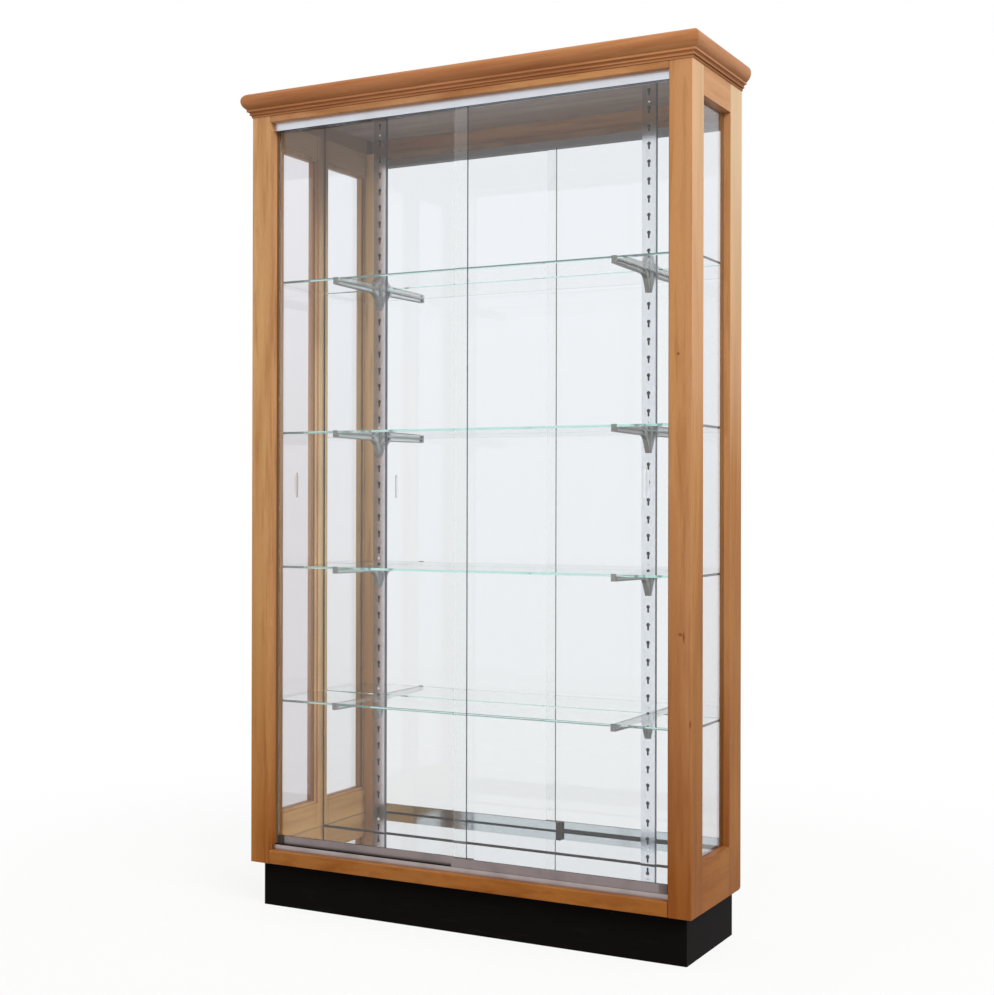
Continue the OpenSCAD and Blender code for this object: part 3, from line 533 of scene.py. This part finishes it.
# The top veneer's grey-brown tone is painted shade on the wood.
veneer_in_shade = {
    "Ground": tint(190, 172, 164),
    "Gold": tint(182, 165, 154),
    "Band": tint(166, 145, 134),
    "Line": tint(142, 120, 110),
    "Low Tone": unshaded,
}
coat(pressed_board(), "bottom_panel", "deck_panel", "back_panel")
coat(maple("top_veneer", cross_grain, veneer_in_shade), "top_panel")

# Mirrors: one covers the back panel and one the deck, each a glass sheet silvered behind.
# The silver stops short of the side frames, where the glass is dark, and the glass is green along
# its cut edges. At the back, the glass beside the two standards is dark with painted shade.
strip_x = 0.391


def cut_edge():
    """1 where a sheet's surface turns away from its broad faces, whose normals lie along Axis."""
    group, given, out = new_group("cut_edge", {"Axis": "Vector"}, {"Mask": "Float"})
    square_on = sums(group, "ABSOLUTE", turned_to(group, given["Axis"]))
    return give(group, out, Mask=ramp(group, square_on, 0.8, 0.4))


def off_middle(tree, place):
    """How far a place lies from the cabinet's middle, to either side."""
    return sums(tree, "ABSOLUTE", along(tree, place, "X"))


def beside_strips():
    """1 within Reach of the middle line of either standard, and 0 beyond."""
    takes, gives = {"Place": "Vector", "Reach": "Float"}, {"Mask": "Float"}
    group, given, out = new_group("beside_strips", takes, gives)
    off = sums(group, "SUBTRACT", off_middle(group, given["Place"]), strip_x)
    outer = sums(group, "ADD", given["Reach"], sharp)
    inner = sums(group, "SUBTRACT", given["Reach"], sharp)
    return give(group, out, Mask=ramp(group, sums(group, "ABSOLUTE", off), outer, inner))


def silvering():
    """Silvered glass: metal where it faces the room, with a breath of haze.

    It is dark past Rim, dark with painted shade beside the standards, and dull green along the
    cut edges, where Cut is 1."""
    low_silver, high_silver = (0.86, 0.865, 0.885, 1), (0.90, 0.915, 0.955, 1)
    low_to_high, rim_fade = (0.3, 1.6), 0.0006
    bare_and_shaded_glass, cut_green = tint(52, 50, 42), tint(70, 96, 90)
    haze_cloud, haze_range, haze = (2.4, 4), (0.3, 0.8), (0.004, 0.016)
    takes = {"Place": "Vector", "Cut": "Float", "Rim": "Float", "Strip Shade": "Float"}
    gives = {"Color": "Color", "Metal": "Float", "Gloss": "Float"}
    group, given, out = new_group("silvering", takes, gives)
    place, rim_x, cut = given["Place"], given["Rim"], given["Cut"]
    height = ramp(group, along(group, place, "Z"), *low_to_high)
    silver = mix(group, height, low_silver, high_silver)
    rim_end = sums(group, "ADD", rim_x, rim_fade)
    rim = ramp(group, off_middle(group, place), rim_x, rim_end)
    dark_glass = sums(group, "MAXIMUM", rim, given["Strip Shade"])
    colour = mix(group, cut, mix(group, dark_glass, silver, bare_and_shaded_glass), cut_green)
    metal = sums(group, "SUBTRACT", 1.0, sums(group, "MAXIMUM", cut, dark_glass))
    hazed = ramp(group, noise(group, place, *haze_cloud), *haze_range, *haze)
    return give(group, out, Color=colour, Metal=metal, Gloss=hazed)


cutting, beside, silvered = cut_edge(), beside_strips(), silvering()


def mirror(name, axis, rim_x, strip_shade_half_w):
    """A mirror whose broad faces look along axis, dark past rim_x, and dark with painted shade
    beside the standards.

    A half width below 0 leaves it silvered beside them."""
    material, tree, skin, place = finish(name, [("Specular IOR Level", 0.5)])
    cut = use(tree, cutting, ("Axis", axis))["Mask"]
    dark_glass = use(tree, beside, ("Place", place), ("Reach", strip_shade_half_w))["Mask"]
    plate = use(tree, silvered, ("Place", place), ("Cut", cut), ("Rim", rim_x), ("Strip Shade", dark_glass))
    wear(tree, skin, Base_Color=plate["Color"], Metallic=plate["Metal"], Roughness=plate["Gloss"])
    return material


coat(mirror("mirror_back", (0, 1, 0), 0.5705, 0.014), "back_mirror")
coat(mirror("mirror_deck", (0, 0, 1), 0.5725, -0.001), "deck_mirror")

# Side glass: one clear pane in each side frame, cut from float glass.
# It is bedded in its rebate behind the beads.


def float_glass():
    """Clear float glass, from Low Tone at the foot to High Tone, grey-green where Cut is 1. Any
    grey in these two tones is painted shade.

    The ends that stand against the frame are dark with painted shade: far out, and facing
    sideways. The other edges glow with painted light, for the light that a wide plate carries
    inside it to them."""
    cut_tone, end_shade_tone, unlit = tint(207, 227, 223), tint(22, 30, 29), (0, 0, 0, 1)
    frame_face, turned_side, low_to_high = (0.530, 0.535), (0.6, 0.8), (0.3, 1.9)
    ground_edge = 0.06
    takes = {"Place": "Vector", "Cut": "Float"}
    takes.update({tone: "Color" for tone in ("Low Tone", "High Tone", "Edge Glow")})
    gives = {"Color": "Color", "Gloss": "Float", "Glow": "Color"}
    group, given, out = new_group("float_glass", takes, gives)
    edge = given["Cut"]
    far_out = ramp(group, off_middle(group, given["Place"]), *frame_face)
    endways = ramp(group, sums(group, "ABSOLUTE", turned_to(group, (1, 0, 0))), *turned_side)
    end_shade = sums(group, "MULTIPLY", edge, sums(group, "MULTIPLY", far_out, endways))
    height = ramp(group, along(group, given["Place"], "Z"), *low_to_high)
    clear = mix(group, height, given["Low Tone"], given["High Tone"])
    colour = mix(group, end_shade, mix(group, edge, clear, cut_tone), end_shade_tone)
    dull = sums(group, "MAXIMUM", ramp(group, edge, 0, 1, 0, ground_edge), end_shade)
    painted_glow = mix(group, sums(group, "SUBTRACT", edge, end_shade), unlit, given["Edge Glow"])
    return give(group, out, Color=colour, Gloss=dull, Glow=painted_glow)


floated = float_glass()


def pane(name, axis, low_tone, high_tone, frosted=(), edge_glow=(0, 0, 0, 1)):
    """Float glass whose broad faces look along axis.

    frosted holds ovals (centre, half size) that are ground dull. Lamps and dull light pass straight
    through."""
    frost_rim, frost_full, frost, shadow_tone = 1.02, 0.92, 0.42, (0.975, 0.985, 0.98, 1)
    sockets = [("Metallic", 0), ("Transmission Weight", 1), ("IOR", 1.5), ("Emission Strength", 1)]
    material, tree, skin, place = finish(name, sockets)
    cut = use(tree, cutting, ("Axis", axis))["Mask"]
    tones = [("Low Tone", low_tone), ("High Tone", high_tone), ("Edge Glow", edge_glow)]
    plate = use(tree, floated, ("Place", place), ("Cut", cut), *tones)
    dull = plate["Gloss"]
    for centre, reach in frosted:
        off = from_spot(tree, place, centre, reach)
        dull = sums(tree, "MAXIMUM", dull, ramp(tree, off, frost_rim, frost_full, 0, frost))
    wear(tree, skin, Base_Color=plate["Color"], Roughness=dull, Emission_Color=plate["Glow"])
    path = fit(tree, "ShaderNodeLightPath").outputs
    passing = sums(tree, "MAXIMUM", path["Is Shadow Ray"], path["Is Diffuse Ray"])
    open_way = fit(tree, "ShaderNodeBsdfTransparent", [("Color", shadow_tone)])
    surface = tree.nodes["Material Output"].inputs["Surface"]
    tree.links.new(either(tree, passing, skin, open_way), surface)
    return material


# The side panes are grey with painted shade, greyer at the foot.
side_glass = pane("side_glass", (1, 0, 0), (0.83, 0.82, 0.82, 1), (0.93, 0.935, 0.945, 1))
coat(side_glass, "left_side_glass", "right_side_glass")

# Tracks: aluminium channels drawn through a die, screwed under the top rail and on the bottom rail.
# The upper one has kept its bright silver finish.
# The lower one has gone grey-brown, and its lanes are black with painted shade.


def drawn_lines():
    """Fine lines that a die leaves along X: a cloud with very long cells, for relief and gloss.

    Rub is a broad cloud that shows where hands and doors have rubbed, up to Wear."""
    long_cells, line_scale, line_range, satin = (0.02, 1, 1), 2200, (0.3, 0.7), (0.27, 0.40)
    rub_cloud, rub_range = (14, 4), (0.45, 0.72)
    takes = {"Place": "Vector", "Wear": "Float"}
    gives = {"Relief": "Float", "Gloss": "Float", "Rub": "Float"}
    group, given, out = new_group("drawn_lines", takes, gives)
    lines = noise(group, stretched(group, given["Place"], long_cells), line_scale)
    rubbed = ramp(group, noise(group, given["Place"], *rub_cloud), *rub_range)
    rub = sums(group, "MULTIPLY", rubbed, given["Wear"])
    gloss = ramp(group, lines, *line_range, *satin)
    return give(group, out, Relief=lines, Rub=rub, Gloss=gloss)


die_lines = drawn_lines()


def aluminium(name, fresh, rubbed, wear_share):
    """Satin anodised aluminium: fresh colour, and the colour where hands and doors have rubbed it.

    Returns its parts and colour, for the masks of single pieces."""
    material, tree, skin, place = finish(name, [("Metallic", 1)])
    lines = use(tree, die_lines, ("Place", place), ("Wear", wear_share))
    colour = mix(tree, lines["Rub"], fresh, rubbed)
    normal = relief(tree, lines["Relief"], 0.08, 0.0002)
    wear(tree, skin, Base_Color=colour, Roughness=lines["Gloss"], Normal=normal)
    return material, tree, skin, place, colour


def shaded_lane_track():
    """The lower track: worn aluminium in front, black with painted shade from the front lip back.
    """
    fresh, rubbed, lane_shade = tint(170, 159, 157), tint(150, 139, 137), tint(26, 23, 22)
    lane_front, lane_fade = y_front + 0.0165, 0.0003
    material, tree, skin, place, colour = aluminium("aluminium_worn", fresh, rubbed, 0.8)
    lane = ramp(tree, along(tree, place, "Y"), lane_front, lane_front + lane_fade)
    metal = sums(tree, "SUBTRACT", 1.0, lane)
    wear(tree, skin, Base_Color=mix(tree, lane, colour, lane_shade), Metallic=metal)
    return material


bright_track = aluminium("aluminium_bright", tint(218, 221, 228), tint(206, 208, 214), 0.6)[0]
coat(bright_track, "top_track")
coat(shaded_lane_track(), "bottom_track")

# Jamb strips: slim buffers of tan nylon, moulded in one length each.
# They are stuck to the posts where the doors close against them.


def sparked_nylon():
    """Moulded nylon: a fine sparked skin, which is a very small cloud between two near tones."""
    spark_scale, satin = 1500, (0.42, 0.6)
    takes = {"Place": "Vector", "Deep": "Color", "Pale": "Color"}
    gives = {"Color": "Color", "Relief": "Float", "Gloss": "Float"}
    group, given, out = new_group("sparked_nylon", takes, gives)
    sparks = noise(group, given["Place"], spark_scale)
    colour = mix(group, sparks, given["Deep"], given["Pale"])
    gloss = ramp(group, sparks, 0, 1, *satin)
    return give(group, out, Color=colour, Relief=sparks, Gloss=gloss)


sparked = sparked_nylon()


def nylon(name, deep, pale):
    """A nylon piece, between two near tones."""
    material, tree, skin, place = finish(name, [("Specular IOR Level", 0.3)])
    mould = use(tree, sparked, ("Place", place), ("Deep", deep), ("Pale", pale))
    normal = relief(tree, mould["Relief"], 0.2, 0.0002)
    wear(tree, skin, Base_Color=mould["Color"], Roughness=mould["Gloss"], Normal=normal)
    return material


tan_nylon = nylon("brown_nylon", tint(118, 88, 58), tint(134, 100, 66))
coat(tan_nylon, "left_jamb_strip", "right_jamb_strip")

# Standards: two shallow steel channels, rolled, slotted with keyholes and zinc plated.
# They stand against the back mirror; the left one's front has a painted brown reflection.


def zinc_crystals():
    """Bright zinc: faint crystals a few millimetres across, which the rolls drew out upwards."""
    rolled, crystal_scale, bright = (1, 1, 0.35), 210, (0.22, 0.27)
    dim_zinc, clean_zinc = tint(216, 220, 227), tint(223, 227, 233)
    gives = {"Color": "Color", "Gloss": "Float"}
    group, given, out = new_group("zinc_crystals", {"Place": "Vector"}, gives)
    crystal = cells(group, stretched(group, given["Place"], rolled), crystal_scale)[0]
    colour = mix(group, crystal, dim_zinc, clean_zinc)
    return give(group, out, Color=colour, Gloss=ramp(group, crystal, 0, 1, *bright))


def strip_faces():
    """A standard's faces: bright on the rolled front, and dull and dark everywhere else. The dark
    of the flanks and of the slots' walls is painted shade.

    The tint on the front is a painted reflection of the wood beside it."""
    flank_shade_grey, flank_metal, flank_to_front_gloss = tint(60, 65, 74), 0.25, (0.26, 0.13)
    gives = {"Color": "Color", "Metal": "Float", "Gloss": "Float"}
    group, given, out = new_group("strip_faces", {"Zinc": "Color", "Reflected Tint": "Color"}, gives)
    front = ramp(group, turned_to(group, (0, -1, 0)), *facing_wide)
    colour = mix(group, front, flank_shade_grey, shade(group, 1, given["Zinc"], given["Reflected Tint"]))
    metal = ramp(group, front, 0, 1, flank_metal, 1)
    gloss = ramp(group, front, 0, 1, *flank_to_front_gloss)
    return give(group, out, Color=colour, Metal=metal, Gloss=gloss)


crystals, faces = zinc_crystals(), strip_faces()


def zinc_plate(name):
    """Bright zinc all over, for pins and screws."""
    material, tree, skin, place = finish(name, [("Metallic", 1)])
    plate = use(tree, crystals, ("Place", place))
    wear(tree, skin, Base_Color=plate["Color"], Roughness=plate["Gloss"])
    return material


def standard_strip(name, reflected_tint):
    """A standard's zinc, whose front takes that tint, a painted reflection."""
    material, tree, skin, place = finish(name, [("Metallic", 1)])
    plate = use(tree, crystals, ("Place", place))
    strip = use(tree, faces, ("Zinc", plate["Color"]), ("Reflected Tint", reflected_tint))
    wear(tree, skin, Base_Color=strip["Color"], Metallic=strip["Metal"], Roughness=strip["Gloss"])
    return material


zinc = zinc_plate("bright_zinc")
coat(standard_strip("strip_zinc_brown", (0.89, 0.85, 0.87, 1)), "left_standard")
coat(standard_strip("strip_zinc", unshaded), "right_standard")
coat(zinc, "left_door_roller_pins", "right_door_roller_pins")

# Screws: six in each standard, midway between two slots, with domed heads and a cross recess.
# They go through the mirror into the back panel.
web_y = y_front + 0.276
head_r, head_h, shank_r, shank_l = 0.0035, 0.0016, 0.00175, 0.025
first_slot, slot_pitch = 0.1755, 0.0439
slots_below = np.array([0, 8, 16, 24, 33, 42])
screw_z = first_slot + slot_pitch * (slots_below + 0.5)


def skin_mesh(name, grids, material):
    """One closed mesh from grids of points shaped (rows, columns, 3).

    Columns wrap round, rows run from one pole to the other, and each quad faces outwards."""
    points, quads, start = [], [], 0
    for grid in grids:
        rows, columns = grid.shape[:2]
        r, c = np.meshgrid(np.arange(rows - 1), np.arange(columns), indexing="ij")
        n = (c + 1) % columns
        corners = [r * columns + c, (r + 1) * columns + c, (r + 1) * columns + n, r * columns + n]
        quads.append(start + np.stack(corners, -1).reshape(-1, 4))
        points.append(grid.reshape(-1, 3))
        start += rows * columns
    mesh = bpy.data.meshes.new(name)
    mesh.from_pydata(np.concatenate(points).tolist(), [], np.concatenate(quads).tolist())
    mesh.materials.append(material)
    piece = bpy.data.objects.new(name, mesh)
    bpy.context.scene.collection.objects.link(piece)
    return piece


def screw_grid(x, z):
    """A screw about the line x, z, as rings from the head's crown to the shank's tip.

    The crown is a flat dome, which falls with the square of the distance from its middle. The
    cross recess sinks it where either of two bars crosses the middle, and its walls slope in."""
    dome, ring_points, pole = 18, 48, 1e-5
    bar_half_w, bar_reach, bar_slope, recess, cross_turn = 0.0003, 0.0019, 0.00022, 0.0009, 0.4
    dome_share, dome_fall, brim, past_end = 0.94, 0.45, 0.42, 0.001
    tip, point_l, blunt_l = shank_r * 0.5, 0.002, 0.0006
    angle = np.linspace(0, 2 * np.pi, ring_points, endpoint=False)
    share = np.linspace(0, dome_share, dome)
    shank_rings = [head_r, head_r, shank_r, shank_r, tip, pole]
    radius = np.concatenate([np.maximum(head_r * share, pole), shank_rings])
    crown = head_h * (1 - dome_fall * share**2)
    shank = [head_h * brim, 0, 0, -shank_l + point_l, -shank_l + blunt_l, -shank_l]
    ring, turn_by = np.meshgrid(radius, angle, indexing="ij")
    rise_by = np.repeat(np.concatenate([crown, shank])[:, None], len(angle), axis=1)
    u = np.abs(ring * np.cos(turn_by + cross_turn))
    v = np.abs(ring * np.sin(turn_by + cross_turn))

    def from_bar(over, beyond):
        return np.maximum(over - bar_half_w, 0) + np.maximum(beyond / bar_reach - 1, 0) * past_end

    off = np.minimum(from_bar(u, v), from_bar(v, u))
    rise_by[:dome] -= (recess * np.clip(1 - off / bar_slope, 0, 1))[:dome]
    return np.stack([x + ring * np.cos(turn_by), web_y - rise_by, z + ring * np.sin(turn_by)], -1)


screw_grids = [screw_grid(side * strip_x, z) for side in (-1, 1) for z in screw_z]
screws = skin_mesh("screws", screw_grids, zinc)
screws.data.polygons.foreach_set("use_smooth", np.ones(len(screws.data.polygons), bool))
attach(screws, "case")
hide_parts("standard_screws")

# Brackets: eight die-cast arms, grey from the mould and ribbed on both sides.
# Each hangs in a standard's slots by two studs, and carries one end of a shelf.


def casting():
    """Plated grey casting, in a cloud of worn and whole greys, with painted shade underneath.

    The floors of the hollows, close to the bracket's middle plane, carry a painted reflection, a
    bright shine, beside which the rims and the leg look darker."""
    worn_grey, whole_grey = tint(128, 129, 129), tint(150, 150, 149)
    underside_shade_grey, hollow_reflection, web_half_w = tint(96, 98, 99), tint(206, 210, 212), 0.0027
    worn_cloud, worn_range, pebble_cloud = (28, 3), (0.35, 0.7), (520, 3)
    plate_metal, pebble_gloss = (0.35, 0.9), (0.34, 0.5)
    material, tree, skin, place = finish("grey_casting")
    pebble = noise(tree, place, *pebble_cloud)
    whole = ramp(tree, noise(tree, place, *worn_cloud), *worn_range)
    worn = mix(tree, whole, worn_grey, whole_grey)
    sideways = sums(tree, "ABSOLUTE", turned_to(tree, (1, 0, 0)))
    web = use(tree, beside, ("Place", place), ("Reach", web_half_w))["Mask"]
    hollow = sums(tree, "MULTIPLY", web, sideways)
    under = ramp(tree, turned_to(tree, (0, 0, -1)), *facing)
    colour = mix(tree, hollow, mix(tree, under, worn, underside_shade_grey), hollow_reflection)
    metal, rough = ramp(tree, hollow, 0, 1, *plate_metal), ramp(tree, pebble, 0, 1, *pebble_gloss)
    normal = relief(tree, pebble, 0.1, 0.0003)
    wear(tree, skin, Base_Color=colour, Metallic=metal, Roughness=rough, Normal=normal)
    return material


levels = (1, 2, 3, 4)
coat(casting(), *(f"bracket_{level}_{hand}" for level in levels for hand in ("left", "right")))

# Shelves: four plates of clear glass with ground edges, a little narrower than the case inside.
# They lie loose on their brackets.
# The shelves' edges glow a faint green with painted light.
clear_tone, painted_edge_glow = (0.98, 0.99, 0.985, 1), (0.055, 0.090, 0.085, 1)
shelf_glass = pane("shelf_glass", (0, 0, 1), clear_tone, clear_tone, edge_glow=painted_edge_glow)
coat(shelf_glass, *(f"shelf_{level}" for level in levels))

# Doors: two sheets of plain glass in aluminium shoes, each with a ground oval for a finger.
# The rollers turn on pins inside the shoe and run on the ribs of the bottom track.
pull_x, pull_z, pull_reach = 0.4912, 1.096, (0.006, 1.0, 0.034)
pulls = [((side * pull_x, 0, pull_z), pull_reach) for side in (-1, 1)]
door_glass = pane("door_glass", (0, 1, 0), clear_tone, clear_tone, pulls)
coat(door_glass, "left_door_glass", "right_door_glass")


def shoe_metal():
    """The shoes' aluminium: grey from hands outside, and polished silver towards the mirror."""
    fresh, rubbed, silver = tint(140, 129, 128), tint(122, 112, 111), tint(232, 240, 240)
    polish_share = 0.3
    material, tree, skin, place, colour = aluminium("aluminium_shoe", fresh, rubbed, 0.8)
    inside = ramp(tree, turned_to(tree, (0, 1, 0)), *facing_wide)
    satin = skin.inputs["Roughness"].links[0].from_socket
    polish = sums(tree, "MULTIPLY", satin, ramp(tree, inside, 0, 1, 1, polish_share))
    wear(tree, skin, Base_Color=mix(tree, inside, colour, silver), Roughness=polish)
    return material


coat(shoe_metal(), "left_door_shoe", "right_door_shoe")
coat(nylon("olive_nylon", tint(56, 51, 46), tint(70, 64, 58)), "left_door_end_blocks")
coat(nylon("grey_nylon", tint(120, 112, 109), tint(136, 128, 125)), "right_door_end_block")


def turned_steel():
    """Bright steel off the lathe, with a faint cloud of turning marks."""
    deep_steel, bright_steel = tint(176, 178, 180), tint(200, 202, 204)
    mark_scale, satin = 700, (0.2, 0.34)
    material, tree, skin, place = finish("roller_steel", [("Metallic", 1)])
    marks = noise(tree, place, mark_scale)
    colour = mix(tree, marks, deep_steel, bright_steel)
    wear(tree, skin, Base_Color=colour, Roughness=ramp(tree, marks, 0, 1, *satin))
    return material


steel = turned_steel()
coat(steel, "left_door_outer_roller", "left_door_inner_roller")
coat(steel, "right_door_outer_roller", "right_door_inner_roller")
